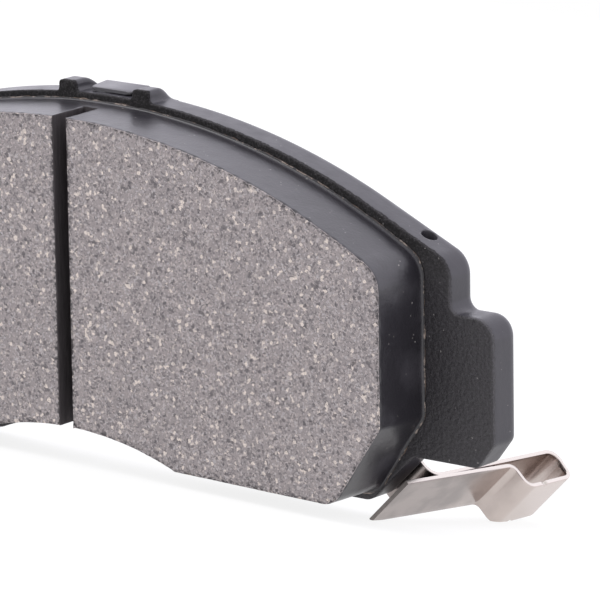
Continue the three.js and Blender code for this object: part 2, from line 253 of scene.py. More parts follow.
class Shell:
    """The points and faces of one piece while it is being built."""

    def __init__(self):
        self.points = []
        self.faces = []
        self.slots = []
        self.flat = []
        self.rim = set()

    def ring(self, loop, y):
        """Adds a loop [x, z] at one Y level, or at a level for each point."""
        levels = np.broadcast_to(y, len(loop))
        return self.ring3([(p[0], h, p[1]) for p, h in zip(loop, levels)])

    def ring3(self, loop):
        """Adds a loop of points [x, y, z]."""
        start = len(self.points)
        self.points += [tuple(p) for p in loop]
        return list(range(start, len(self.points)))

    def add(self, face, slot, flat=False):
        self.faces.append(face)
        self.slots.append(slot)
        self.flat.append(flat)

    def wall(self, a, b, slot=lambda i: 0, flip=False):
        """Joins two rings of as many points with four-sided faces."""
        for i in range(len(a)):
            j = (i + 1) % len(a)
            face = [a[i], a[j], b[j], b[i]]
            self.add(face[::-1] if flip else face, slot(i))

    def stack(self, loops, slot=lambda k, i: 0):
        """Adds a ring for each loop [x, z] and its level, from the front back, and joins them."""
        rings = [self.ring(loop, y) for loop, y in loops]
        for k, (a, b) in enumerate(zip(rings, rings[1:])):
            self.wall(a, b, lambda i: slot(k, i), flip=True)
        return rings

    def bores(self, fronts, front, backs, back):
        """Adds the walls of holes between loops [x, z] at two levels, and returns their rings."""
        pairs = [(self.ring(a, front), self.ring(b, back)) for a, b in zip(fronts, backs)]
        for a, b in pairs:
            self.wall(a, b)
        return [a for a, _ in pairs], [b for _, b in pairs]

    def close(self, rings, fronts=(), backs=()):
        """Caps a stack at its front and its back, round the rings of its holes."""
        self.cap([rings[0], *fronts], faces_back=False)
        self.cap([rings[-1], *backs], faces_back=True)

    def cap(self, rings, faces_back, slot=0, spacing=None, height=None):
        """Fills the first ring, round the others, with triangles that face +Y or -Y.

        With a spacing it has points inside as well, and height(points) says how far they stand
        along Y from the first ring's level.
        """
        border = [i for ring in rings for i in ring]
        flat = np.array([[self.points[i][0], self.points[i][2]] for i in border])
        edges, start = [], 0
        for ring in rings:
            count = len(ring)
            edges += [(start + k, start + (k + 1) % count) for k in range(count)]
            start += count
        inner = grid_inside(flat[:len(rings[0])], spacing) if spacing else np.zeros((0, 2))
        index = list(border)
        if len(inner):
            y = self.points[border[0]][1] + height(inner)
            index += self.ring(inner, y)
        both = [Vector(p) for p in np.concatenate([flat, inner])]
        verts, _, triangles, origin = geometry.delaunay_2d_cdt(both, edges, [], 1, 1e-6)[:4]
        holes = [[(self.points[i][0], self.points[i][2]) for i in ring] for ring in rings[1:]]
        for triangle in triangles:
            middle = sum((verts[v] for v in triangle), Vector((0, 0))) / 3
            if any(inside(hole, middle) for hole in holes):
                continue
            if all(origin[v] for v in triangle):
                face = [index[origin[v][0]] for v in triangle]
                self.add(face if not faces_back else face[::-1], slot, flat=not len(inner))

    def sweep(self, rings, slot=lambda i: 0, ends=(0, 0)):
        """Joins rings in turn and closes both ends, with every face outwards."""
        faces = [(rings[0][::-1], ends[0]), (rings[-1], ends[1])]
        for a, b in zip(rings, rings[1:]):
            for i in range(len(a)):
                j = (i + 1) % len(a)
                faces.append(([a[i], a[j], b[j], b[i]], slot(i)))
        outwards = sum(self.volume(face) for face, _ in faces) > 0
        for k, (face, which) in enumerate(faces):
            self.add(face if outwards else face[::-1], which, flat=k < 2)

    def volume(self, face):
        """Six times the volume between a face and the origin."""
        a = np.array(self.points[face[0]])
        total = 0.0
        for k in range(1, len(face) - 1):
            b, c = np.array(self.points[face[k]]), np.array(self.points[face[k + 1]])
            total += a @ np.cross(b, c)
        return total

    def piece(self, name, materials):
        mesh = bpy.data.meshes.new(name)
        mesh.from_pydata([Vector(p) * MM for p in self.points], [], self.faces)
        mesh.update()
        if self.rim:
            values = [float(i in self.rim) for i in range(len(self.points))]
            mesh.attributes.new("rim", "FLOAT", "POINT").data.foreach_set("value", values)
        rims = set()
        for polygon, slot, flat in zip(mesh.polygons, self.slots, self.flat):
            polygon.material_index = slot
            polygon.use_smooth = not flat
            rims ^= set(polygon.edge_keys) if flat else set()
        for edge in mesh.edges:
            edge.use_edge_sharp = edge.key in rims
        for material in materials:
            mesh.materials.append(material)
        return placed(name, mesh)


def inside(loop, point):
    """Whether a point is inside a convex hole."""
    middle = np.mean(loop, axis=0)
    reach = max(math.dist(p, middle) for p in loop)
    return math.dist(point, middle) < reach


ROW_SHARE = 0.87  # distance between a grid's rows, as a share of its spacing
SCATTER = 0.35  # share of the spacing over which its points are scattered
EDGE_SHARE = 0.6  # share of it by which they stay clear of the outline


def scattered(points, across, up, size):
    """A repeatable random value for each point, from -0.5 to 0.5."""
    value = np.sin(points[:, 0] * across + points[:, 1] * up) * size
    return value - np.floor(value) - 0.5


def grid_inside(outline, spacing):
    """Points on a slightly uneven grid inside an outline, clear of its edge."""
    low, high = outline.min(axis=0), outline.max(axis=0)
    xs = np.arange(low[0] + spacing, high[0], spacing)
    zs = np.arange(low[1] + spacing, high[1], spacing * ROW_SHARE)
    x, z = np.meshgrid(xs, zs)
    x = x + (np.arange(len(zs)) % 2)[:, None] * spacing / 2
    points = np.stack([x.ravel(), z.ravel()], axis=1)
    shift = np.stack([scattered(points, 78.2, 12.9, 43758.5),
                      scattered(points, 39.3, 11.1, 24634.6)], axis=1)
    points += shift * spacing * SCATTER
    return points[clear_of(outline, points, spacing * EDGE_SHARE)]


def clear_of(outline, points, gap):
    """Which points are inside an outline and at least a gap away from it."""
    a, b = outline, np.roll(outline, -1, axis=0)
    within = np.zeros(len(points), bool)
    near = np.full(len(points), np.inf)
    for p, q in zip(a, b):
        crosses = (p[1] > points[:, 1]) != (q[1] > points[:, 1])
        if p[1] != q[1]:
            at = p[0] + (points[:, 1] - p[1]) / (q[1] - p[1]) * (q[0] - p[0])
            within ^= crosses & (points[:, 0] < at)
        near = np.minimum(near, ((points - p) ** 2).sum(axis=1))
    return within & (near > gap * gap)


def rounding(across, along, steps):
    """A quarter ellipse from the wall to the face: how far in, and how far short of the face."""
    turns = [math.pi / 2 * k / steps for k in range(steps + 1)]
    return [(across * (1 - math.cos(t)), along * (1 - math.sin(t))) for t in turns]


# ---- node graphs for materials --------------------

class Graph:
    """The nodes of a material, whose patterns follow the place in mm, or of a world."""

    def __init__(self, name, library="materials", shader="Principled BSDF"):
        self.owner = getattr(bpy.data, library).new(name)
        self.owner.use_nodes = True
        self.tree = self.owner.node_tree
        self.shader = self.tree.nodes[shader]
        place = self.node("TexCoord").outputs["Object"]
        self.place = self.vector("SCALE", {0: place, "Scale": 1 / MM})

    def put(self, socket, value):
        if isinstance(value, bpy.types.NodeSocket):
            self.tree.links.new(value, socket)
        elif isinstance(value, tuple) and len(value) == 3 and socket.type == "RGBA":
            socket.default_value = (*value, 1)
        else:
            socket.default_value = value

    def node(self, kind, inputs=None, **settings):
        made = self.tree.nodes.new("ShaderNode" + kind)
        for key, value in settings.items():
            setattr(made, key, value)
        for key, value in (inputs or {}).items():
            self.put(made.inputs[key], value)
        return made

    def vector(self, operation, inputs):
        return self.node("VectorMath", inputs, operation=operation).outputs[0]

    def noise(self, size, detail=2.0, rough=0.5, place=None):
        inputs = {"Vector": place or self.place, "Scale": 1 / size, "Detail": detail,
                  "Roughness": rough}
        return self.node("TexNoise", inputs).outputs["Fac"]

    def cell_value(self, size, place=None):
        """One random value for each grain of about a size."""
        cells = self.node("TexVoronoi", {"Vector": place or self.place, "Scale": 1 / size})
        return self.node("SeparateColor", {"Color": cells.outputs["Color"]}).outputs[0]

    def math(self, operation, a, b):
        return self.node("Math", {0: a, 1: b}, operation=operation).outputs[0]

    def step(self, value, low, high):
        """0 below low, 1 above high, smooth between."""
        inputs = {"Value": value, "From Min": low, "From Max": high}
        return self.node("MapRange", inputs, interpolation_type="SMOOTHSTEP").outputs["Result"]

    def span(self, value, low, high, to_low, to_high):
        inputs = {"Value": value, "From Min": low, "From Max": high,
                  "To Min": to_low, "To Max": to_high}
        return self.node("MapRange", inputs).outputs["Result"]

    def mixed(self, kind, amount, a, b):
        """A Mix node's result: each kind of value has its own pair of sockets."""
        first, result = {"FLOAT": (2, 0), "VECTOR": (4, 1), "RGBA": (6, 2)}[kind]
        inputs = {"Factor": amount, first: a, first + 1: b}
        return self.node("Mix", inputs, data_type=kind).outputs[result]

    def mix(self, amount, a, b):
        return self.mixed("RGBA", amount, a, b)

    def blend(self, amount, a, b):
        return self.mixed("FLOAT", amount, a, b)

    def over(self, color, value, low, high, share, other):
        """A colour with a share of another laid over it, as a value passes from low to high."""
        return self.mix(self.math("MULTIPLY", self.step(value, low, high), share), color, other)

    def dusted(self, color, low, share):
        """A colour with fine pale specks, which are rarer the nearer low is to 1."""
        return self.over(color, self.cell_value(0.2), low, 0.9995, share, (0.34, 0.32, 0.31))

    def ramp(self, value, stops):
        made = self.node("ValToRGB", {"Fac": value})
        ramp = made.color_ramp
        while len(ramp.elements) < len(stops):
            ramp.elements.new(0.5)
        for element, (at, color) in zip(ramp.elements, stops):
            element.position = at
            element.color = (*color, 1)
        return made.outputs["Color"]

    def warped(self, amount, size):
        """The place pushed about at random by up to an amount, for torn outlines."""
        push = self.node("TexNoise", {"Vector": self.place, "Scale": 1 / size, "Detail": 2.0})
        middle = self.vector("SUBTRACT", {0: push.outputs["Color"], 1: (0.5, 0.5, 0.5)})
        scaled = self.vector("SCALE", {0: middle, "Scale": 2 * amount})
        return self.vector("ADD", {0: self.place, 1: scaled})

    def attribute(self, name):
        """A value that the mesh carries at its points."""
        return self.node("Attribute", attribute_name=name).outputs["Fac"]

    def axis(self, letter):
        return self.node("SeparateXYZ", {"Vector": self.place}).outputs[letter]

    def stretched(self, x, y, z):
        """The place with each direction divided, so that patterns are drawn out along it."""
        return self.vector("MULTIPLY", {0: self.place, 1: (1 / x, 1 / y, 1 / z)})

    def bump(self, height, depth, under=None):
        """A relief whose heights 0 to 1 are that many mm."""
        inputs = {"Height": height, "Distance": depth * MM, "Strength": 1.0}
        if under:
            inputs["Normal"] = under
        return self.node("Bump", inputs).outputs["Normal"]

    def finish(self, **values):
        for key, value in values.items():
            self.put(self.shader.inputs[key.replace("_", " ")], value)
        return self.owner


def plate_coat():
    """Black powder coat: coarse and dull on the front face, smooth and satin on the edges, with
    painted shade, near black, on the front face's upper part above the lining.
    """
    g = Graph("powder_coat")
    y = g.axis("Y")
    wander = g.span(g.noise(0.7, 4, 0.6), 0.25, 0.75, -0.3, 0.3)
    ragged = g.math("ADD", y, wander)
    front = g.math("SUBTRACT", 1.0, g.step(ragged, PLATE_FRONT + 0.62, PLATE_FRONT + 0.78))
    # painted shade: the front face's upper part, above the lining, is painted near black for the
    # shade that falls there
    painted_shade_top = g.math("MULTIPLY", front, g.step(g.axis("Z"), 4, 13))
    grain = g.noise(0.7, 3, 0.6)
    fine = g.noise(0.25, 3, 0.6)
    dull = g.mix(g.step(g.noise(0.4, 3, 0.6), 0.4, 0.7), (0.020, 0.018, 0.021),
                 (0.036, 0.033, 0.039))
    satin = g.mix(g.noise(6, 3), (0.022, 0.0205, 0.027), (0.031, 0.0285, 0.036))
    # the near-black grain of that painted shade
    painted_shade_grain = g.mix(g.step(g.noise(0.33, 3, 0.7), 0.45, 0.68), (0.0065, 0.0055, 0.0065),
                 (0.034, 0.031, 0.034))
    color = g.mix(painted_shade_top, g.mix(front, satin, dull), painted_shade_grain)
    color = g.dusted(color, 0.9985, 0.5)
    rough = g.blend(front, g.span(g.noise(2.5, 3), 0.3, 0.7, 0.33, 0.42), 0.5)
    rough = g.blend(painted_shade_top, rough, 0.95)
    edge_relief = g.bump(fine, 0.008, g.bump(g.noise(0.9, 2), 0.022))
    front_relief = g.bump(fine, 0.05, g.bump(grain, 0.22))
    relief = g.mixed("VECTOR", front, edge_relief, front_relief)
    return g.finish(Base_Color=color, Roughness=rough, Normal=relief)


def friction_face():
    """Ground friction material: grey binder full of fine pale, tan and dark grains."""
    g = Graph("friction_face")
    torn = g.warped(0.22, 0.3)
    binder = g.mix(g.noise(1.6, 4, 0.65), (0.245, 0.226, 0.238), (0.385, 0.335, 0.330))
    small = g.cell_value(0.27, torn)
    tint = g.mix(g.cell_value(0.33), (0.60, 0.51, 0.48), (0.52, 0.50, 0.53))
    color = g.over(binder, small, 0.66, 0.82, 0.65, tint)
    color = g.over(color, small, 0.24, 0.12, 0.65, (0.095, 0.088, 0.100))
    cluster = g.span(g.noise(2.2, 3), 0.35, 0.65, -0.035, 0.035)
    bright = g.math("ADD", g.cell_value(0.48, torn), cluster)
    color = g.over(color, bright, 0.92, 0.98, 0.85, (0.86, 0.75, 0.68))
    color = g.over(color, bright, 0.075, 0.04, 0.7, (0.055, 0.050, 0.060))
    fine = g.noise(0.17, 3, 0.75)
    color = g.mix(g.span(fine, 0.36, 0.64, 0.0, 0.58), color, (0.165, 0.148, 0.153))
    chipped = g.math("MULTIPLY", g.attribute("rim"), g.step(g.noise(0.55, 4, 0.7), 0.47, 0.55))
    color = g.mix(chipped, color, (0.020, 0.018, 0.021))
    relief = g.bump(g.math("ADD", small, g.math("MULTIPLY", fine, 1.4)), 0.045)
    return g.finish(Base_Color=color, Roughness=g.span(bright, 0, 1, 0.85, 0.60), Normal=relief)


def block_paint():
    """The satin charcoal paint on the sides of the lining."""
    g = Graph("block_paint")
    # lighter patches at random: scuffed paint, and in part a painted sheen
    scuff_and_sheen = g.step(g.noise(9, 4, 0.55), 0.5, 0.78)
    color = g.mix(scuff_and_sheen, (0.0175, 0.0160, 0.0205), (0.038, 0.0355, 0.043))
    color = g.dusted(color, 0.998, 0.6)
    relief = g.bump(g.noise(1.8, 3), 0.05)
    relief = g.bump(g.noise(0.4, 3, 0.6), 0.03, relief)
    return g.finish(Base_Color=color, Roughness=g.blend(scuff_and_sheen, 0.30, 0.40),
                    Specular_IOR_Level=0.65, Normal=relief)


def flash_trim():
    """The lining's feathered flash: torn in places, so that its tan core shows."""
    g = Graph("flash_trim")
    torn = g.step(g.noise(2.4, 5, 0.7), 0.5, 0.62)
    core = g.mix(g.noise(0.6, 3), (0.10, 0.075, 0.06), (0.36, 0.30, 0.27))
    color = g.mix(torn, (0.035, 0.033, 0.036), core)
    return g.finish(Base_Color=color, Roughness=0.65, Normal=g.bump(g.noise(0.25, 3), 0.04))


def slot_wall():
    """The saw-cut walls of the slot, dusted black."""
    g = Graph("slot_wall")
    streak = g.noise(0.5, 4, 0.6, g.stretched(1, 1, 8))
    color = g.mix(streak, (0.024, 0.021, 0.023), (0.090, 0.080, 0.084))
    return g.finish(Base_Color=color, Roughness=1.0, Specular_IOR_Level=0.2,
                    Normal=g.bump(streak, 0.08))


def glue():
    """Cured tan adhesive, rusty in places."""
    g = Graph("adhesive")
    patch = g.noise(3.5, 4, 0.65)
    color = g.ramp(patch, [(0.35, (0.040, 0.032, 0.030)), (0.5, (0.11, 0.072, 0.052)),
                           (0.68, (0.34, 0.275, 0.235))])
    return g.finish(Base_Color=color, Roughness=0.7, Normal=g.bump(g.noise(0.3, 3), 0.05))


def shim_rubber():
    """A satin black rubber coat with a faint pebble."""
    g = Graph("shim_rubber")
    color = g.mix(g.noise(9, 4, 0.6), (0.028, 0.028, 0.031), (0.045, 0.045, 0.050))
    color = g.over(color, g.cell_value(0.4), 0.985, 0.995, 0.2, (0.13, 0.13, 0.14))
    relief = g.bump(g.noise(0.45, 3, 0.6), 0.03)
    rough = g.span(g.noise(5, 3), 0.3, 0.7, 0.42, 0.55)
    return g.finish(Base_Color=color, Roughness=rough, Normal=relief)


def shim_sheet():
    """The shim's sheet steel under a thin grey coat."""
    g = Graph("shim_sheet")
    streak = g.noise(0.5, 4, 0.6, g.stretched(9, 1, 1))
    color = g.mix(streak, (0.115, 0.113, 0.124), (0.160, 0.157, 0.170))
    rough = g.span(streak, 0.3, 0.7, 0.34, 0.44)
    return g.finish(Base_Color=color, Roughness=rough, Metallic=0.35,
                    Normal=g.bump(streak, 0.01))


def spring_steel():
    """Satin nickel-plated strip, painted darker along the arm that runs beside the lining: a
    painted reflection of the shaded floor under the pad.
    """
    g = Graph("spring_steel")
    lines = g.noise(0.6, 3, 0.6, g.stretched(1, 16, 1))
    cloud = g.noise(5, 4)
    bright = g.mix(cloud, (0.53, 0.465, 0.438), (0.62, 0.545, 0.513))
    # painted reflection: the darker colour stands for the shaded floor that this part of the strip
    # reflects
    dull = g.mix(g.step(cloud, 0.35, 0.65), (0.28, 0.246, 0.237), (0.37, 0.325, 0.312))
    # where along Y the painted reflected shade gives way to the plain colour
    place = g.math("ADD", g.axis("Y"), g.span(cloud, 0, 1, -5, 5))
    color = g.mix(g.step(place, 6, 17), dull, bright)
    rough = g.math("ADD", g.span(lines, 0.3, 0.7, 0.19, 0.23), g.span(cloud, 0.3, 0.7, 0.0, 0.05))
    return g.finish(Base_Color=color, Metallic=1.0, Roughness=rough)


def sheared_steel():
    """The strip's cut edge: part burnished, part torn."""
    g = Graph("sheared_steel")
    torn = g.noise(0.4, 4, 0.7)
    color = g.mix(torn, (0.56, 0.520, 0.475), (0.63, 0.590, 0.540))
    return g.finish(Base_Color=color, Metallic=1.0, Roughness=g.span(torn, 0.3, 0.7, 0.28, 0.42),
                    Normal=g.bump(torn, 0.006))


def cropped_steel():
    """The strip's end, left dark by the cropping tool."""
    g = Graph("cropped_steel")
    torn = g.noise(0.3, 4, 0.7, g.stretched(1, 1, 3))
    color = g.mix(torn, (0.14, 0.125, 0.12), (0.30, 0.27, 0.26))
    return g.finish(Base_Color=color, Metallic=1.0, Roughness=0.5, Normal=g.bump(torn, 0.02))


def rivet_steel():
    """Zinc-plated rivet."""
    g = Graph("rivet_steel")
    cloud = g.noise(1.2, 4, 0.6)
    color = g.mix(cloud, (0.36, 0.35, 0.34), (0.52, 0.51, 0.49))
    return g.finish(Base_Color=color, Metallic=1.0, Roughness=g.span(cloud, 0.3, 0.7, 0.3, 0.42),
                    Normal=g.bump(cloud, 0.012))


# ---- the pad's flat pieces --------------------

FINE = 0.3  # spacing of the points along an outline
DIE_ROLL = (0.75, 1.5)  # how far in and how deep the plate's back edge is rolled
PLATE_EDGE = 0.22  # rounding of the plate's front edge
EDGE_RAGGED = 0.04  # and how uneven it is
FACE_RIM = 0.15  # how far inside its edge a flat face begins
LUG_REACH = 10  # half the length over both lugs, where the roll is narrower
LUG_SHARE = 0.6  # and by how much
LUG_RUN = 3.0  # how far from the back face the lugs begin to fall away
LUG_FALL = 1.7  # the power of depth by which they do
DRILL_POINT = 0.7  # depth of the cone at the foot of a drilled hole
MOUTH = (0.15, 0.9, 1.5)  # where a hole's broken edge begins and ends, and how much it widens


def matching(loops, loop):
    """The loop of a list whose middle is nearest another's, turned to start beside its start."""
    middle = loop.mean(axis=0)
    near = min(loops, key=lambda other: np.linalg.norm(other.mean(axis=0) - middle))
    near = evened(near, len(loop))
    first = np.linalg.norm(near - loop[0], axis=1).argmin()
    return np.roll(near, -first, axis=0)


def without_lugs(outer):
    """The plate's outline with its two lugs cut down to the arc that they stand on."""
    top = (np.abs(outer[:, 0]) < LUG_REACH) & (outer[:, 1] > 0)
    first = next(i for i in range(len(outer)) if top[i] and not top[i - 1])
    turned = np.roll(outer, -first, axis=0)
    count = int(top.sum())
    ends = turned[0], turned[count - 1]
    middle = turned[count // 2]
    x = np.linspace(ends[0][0], ends[1][0], count)
    share = (x / LUG_REACH) ** 2
    foot = (ends[0][1] + ends[1][1]) / 2
    turned[:count] = np.stack([x, middle[1] * (1 - share) + foot * share], axis=1)
    return np.roll(turned, first, axis=0)


def plate_outline(y, outer, plain):
    """The plate's outline at a Y level: the lugs fall away towards the back face."""
    t = np.clip((y - PLATE_BACK + LUG_RUN) / LUG_RUN, 0, 1)
    fall = t ** LUG_FALL
    return outer * (1 - fall) + plain * fall


def backing_plate(materials):
    """The stamped plate, with its holes right through, a rolled back edge and a crisp front."""
    shell = Shell()
    outer, *holes = outlines("backing_plate", PLATE_FRONT, FINE)
    back_holes = outlines("backing_plate", PLATE_BACK, FINE)[1:]
    plain = without_lugs(outer)
    loops = []
    for across, short in reversed(rounding(PLATE_EDGE, PLATE_EDGE, 4)):
        loop = inset(outer, across)
        ragged = wave(loop, 0.8, 3) * EDGE_RAGGED * across / PLATE_EDGE
        loops.append((loop, PLATE_FRONT + short + ragged))
    loops.insert(0, (inset(loops[0][0], FACE_RIM), PLATE_FRONT))
    for y in np.linspace(PLATE_FRONT + 1.2, PLATE_BACK - DIE_ROLL[1] - 0.4, 7):
        loops.append((plate_outline(y, outer, plain), y))
    share = np.where(np.abs(outer[:, 0]) < LUG_REACH, LUG_SHARE, 1.0)
    for across, short in rounding(*DIE_ROLL, 7):
        loop = plate_outline(PLATE_BACK - short, outer, plain)
        loops.append((inset(loop, across * share), PLATE_BACK - short))
    loops.append((inset(loops[-1][0], FACE_RIM), PLATE_BACK))
    rings = shell.stack(loops)
    facing = [matching(back_holes, hole) for hole in holes]
    shell.close(rings, *shell.bores(holes, PLATE_FRONT, facing, PLATE_BACK))
    plate = shell.piece("stamped_plate", materials)
    for side in (1, -1):
        drill(plate, *spring_hole(side))
    return plate


def spring_hole(side):
    """The foot, mouth and radius of the blind hole for a return spring in the plate's top edge."""
    points, _ = welded("backing_plate")
    x, y, z = points.T
    within = (y > PLATE_FRONT + 1) & (y < PLATE_BACK - 1)
    points = points[within & (x * side > 50) & (z > 2)]
    low = points[:, 2] < (points[:, 2].min() + points[:, 2].max()) / 2
    foot, mouth = points[low], points[~low]
    radius = (foot[:, 1].max() - foot[:, 1].min()) / 2
    return foot.mean(axis=0), mouth.mean(axis=0), radius


def drill(piece, foot, mouth, radius):
    """Cuts a round blind hole, slightly broken at its mouth, into a piece."""
    axis = unit(mouth - foot)
    side = unit(np.cross(axis, ALONG_Y))
    other = np.cross(axis, side)
    turns = np.linspace(0, 2 * math.pi, 40, endpoint=False)[:, None]
    circle = side * np.cos(turns) + other * np.sin(turns)
    cutter = Shell()
    below, above, wider = MOUTH
    stations = [(foot - axis * DRILL_POINT, 0.1), (foot, radius), (mouth - axis * below, radius),
                (mouth + axis * above, radius * wider)]
    cutter.sweep([cutter.ring3(centre + circle * r) for centre, r in stations])
    tool = cutter.piece("hole_tool", [])
    cut = piece.modifiers.new("hole", "BOOLEAN")
    cut.operation = "DIFFERENCE"
    cut.solver = "EXACT"
    cut.object = tool
    bpy.context.view_layer.update()
    done = piece.evaluated_get(bpy.context.evaluated_depsgraph_get())
    mesh = bpy.data.meshes.new_from_object(done)
    piece.modifiers.clear()
    piece.data = mesh
    bpy.data.objects.remove(tool)


def soft_edged(outer, front, back, soft):
    """A layer's loops from front to back, with both its edges bevelled."""
    narrow = inset(outer, soft)
    return [(narrow, front), (outer, front + soft), (outer, back - soft), (narrow, back)]


def film(name, node, front, back, grow, ragged, materials):
    """A thin layer with a slightly uneven edge."""
    shell = Shell()
    outer, *holes = outlines(node, level(node, 0), FINE)
    outer = inset(outer, -grow)
    outer = outer - inward(outer) * (wave(outer, 2.5, 5) * ragged)[:, None]
    rings = shell.stack(soft_edged(outer, front, back, (back - front) * 0.3))
    shell.close(rings, *shell.bores(holes, front, holes, back))
    return shell.piece(name, materials)


DRAFT = 0.022  # how far the lining's walls lean in, per mm towards the rotor
COVE_UP = 0.9  # height of the cove at the wall's foot
COVE_OUT = 0.3  # and how far it spreads
FLASH = 0.16  # how far the flash runs out past the cove
FLASH_T = 0.12
FLASH_RAGGED = 0.12
FLASH_EDGE = [(0.07, 0.10), (0, 0.05), (0.05, 0)]  # how far in, and how far off the bond film


def wall_lean(y):
    """How far the lining's wall stands in from the CAD outline at a Y level."""
    middle = (LINING_FRONT + BOND_FRONT) / 2
    return (middle - y) * DRAFT


def lining_wall(outer, y, more=0.0):
    """The lining's slightly uneven wall at a Y level."""
    loop = inset(outer, wall_lean(y) + more)
    swell = wave(np.column_stack([loop[:, 0], np.full(len(loop), y), loop[:, 1]]), 5.0, 31) * 0.04
    return loop + inward(loop) * swell[:, None]


def underlayer(materials):
    """The moulded underlayer: its wall coves out to a thin flash on the plate, and keys fill the
    plate's holes."""
    shell = Shell()
    outer = outlines("underlayer", LINING_BACK, FINE)[0]
    keys = outlines("underlayer", PLATE_BACK, FINE)
    cove = BOND_FRONT - COVE_UP
    loops = [(lining_wall(outer, y), y) for y in np.linspace(LINING_BACK, cove, 4)]
    for k in range(1, 8):
        turn = math.pi / 2 * k / 7
        y = cove + (COVE_UP - FLASH_T) * math.sin(turn)
        loops.append((lining_wall(outer, y, -COVE_OUT * (1 - math.cos(turn))), y))
    flash_from = len(loops) - 1
    lip = inset(outer, wall_lean(BOND_FRONT) - COVE_OUT - FLASH)
    lip = lip - inward(lip) * (wave(outer, 1.5, 11, 3) * FLASH_RAGGED)[:, None]
    loops += [(inset(lip, across), BOND_FRONT - short) for across, short in FLASH_EDGE]
    rings = shell.stack(loops, lambda k, i: 1 if k >= flash_from else 0)
    shell.cap([rings[0]], faces_back=False, slot=2)
    roots = [shell.ring(key, BOND_FRONT) for key in keys]
    tips = [shell.ring(key, PLATE_BACK) for key in keys]
    for root, tip in zip(roots, tips):
        shell.wall(root, tip, flip=True)
        shell.add(tip[::-1], 0, flat=True)
    shell.cap([rings[-1], *roots], faces_back=True)
    return shell.piece("moulded_underlayer", materials)


GRAIN = 0.55  # spacing of the points on the ground face
FACE_EDGE = 0.14  # rounding of the ground face's edge
CHIP_IN = 0.5  # how much of a chip's size goes in from the wall
CHIP_DOWN = 0.25  # and how much down from the face


def ground_relief(points):
    """The friction face's own relief: gentle unevenness and a few open pores."""
    swell = wave(points, 1.3, 21, 3) * 0.035
    pores = np.maximum(wave(points, 0.9, 23, 2) - 0.62, 0) * 0.9
    return swell + pores


def friction_block(node, name, seed, materials):
    """One block of friction material: ground face, chipped rim, leaning painted walls."""
    shell = Shell()
    outer = outlines(node, LINING_FRONT, FINE)[0]
    in_slot = np.abs(outer[:, 0]) < np.abs(outer[:, 0]).min() + 0.05
    free = np.where(in_slot, 0.0, 1.0)[:, None]

    def leaned(y, more=0.0):
        """The outline at a Y level: the outside walls lean, the slot's wall is square."""
        square = outer + inward(outer) * more
        return lining_wall(outer, y, more) * free + square * (1 - free)

    def material(k, i):
        """The slot's wall is cut, the first bands belong to the face, and the rest is painted."""
        if in_slot[i] and in_slot[(i + 1) % len(outer)]:
            return 2
        return 0 if k < 2 else 1

    chips = np.maximum(wave(outer, 0.9, seed, 3) - 0.2, 0) * 0.9
    ragged = wave(outer, 0.5, seed + 1, 2) * 0.05
    loops = []
    for across, short in reversed(rounding(FACE_EDGE, FACE_EDGE, 3)):
        y = LINING_FRONT + short
        loop = leaned(y, across)
        share = 1 - short / FACE_EDGE
        loop = loop + inward(loop) * ((chips * CHIP_IN + ragged) * share)[:, None]
        loops.append((loop, y + chips * CHIP_DOWN * share))
    loops += [(leaned(y), y) for y in np.linspace(LINING_FRONT + 0.6, LINING_BACK, 9)]
    rings = shell.stack(loops, material)
    shell.rim.update(rings[0])
    shell.cap([rings[0]], False, 0, GRAIN, ground_relief)
    shell.cap([rings[-1]], True, 2)
    return shell.piece(name, materials)


# ---- the shim --------------------

TAB_BEND = 0.85  # how far from its corner a tab's bend begins
TAB_CORNER = 0.9  # radius of the corners at a tab's tip
TAB_ROOT = 1.5  # how far a tab's root runs down inside the sheet
TAB_SPAN = 6  # half the width in which a tab's points are looked for
BOTTOM_TAB_X = 33
SHEET_EDGE = 0.12


def bent_tab(shell, low, high, route, thickness):
    """A sheet tab: a section swept along a route in the Y-Z plane, rounded off at its tip."""
    route = np.array(route, float)
    along = unit(np.gradient(route, axis=0))
    normal = left_of(along) * thickness / 2
    length = distances(route)
    short = np.maximum(TAB_CORNER - (length[-1] - length), 0)
    pull = TAB_CORNER - np.sqrt(TAB_CORNER ** 2 - short ** 2)
    soft = thickness * 0.3
    rings = []
    for p, n, d in zip(route, normal, pull):
        a, b = low + d, high - d
        section = [(a, -0.5), (a + soft, -1), (b - soft, -1), (b, -0.5),
                   (b, 0.5), (b - soft, 1), (a + soft, 1), (a, 0.5)]
        rings.append(shell.ring3([(x, p[0] + n[0] * t, p[1] + n[1] * t) for x, t in section]))
    shell.sweep(rings)


def tab_route(root, corner, tip):
    """A tab's centreline [y, z]: up from its root, round the corner and out to its tip."""
    root, corner, tip = (np.array(p, float) for p in (root, corner, tip))
    begin = corner + unit(root - corner) * TAB_BEND
    end = corner + unit(tip - corner) * TAB_BEND
    t = np.linspace(0, 1, 10)[:, None]
    bend = begin * (1 - t) ** 2 + corner * 2 * t * (1 - t) + end * t * t
    reach = np.linalg.norm(tip - end)
    places = np.concatenate([np.linspace(0, reach - TAB_CORNER, 6)[1:],
                             reach - TAB_CORNER * (1 - np.sin(np.linspace(0.2, math.pi / 2, 8)))])
    return np.concatenate([root[None], bend, end + unit(tip - end) * places[:, None]])


def tab_points(side, centre):
    """The CAD sheet's points, in mm, on a tab where it stands past the coat's edge."""
    points, _ = welded("shim_core")
    edge = side * level_z("shim_outer_coat", side)
    past = points[:, 2] * side > edge + 0.05
    return points[past & (np.abs(points[:, 0] - centre) < TAB_SPAN)]


def level_z(node, side):
    """How high a node's top (side 1) or bottom (side -1) lies, in mm."""
    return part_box(node)[1 if side > 0 else 0].z / MM


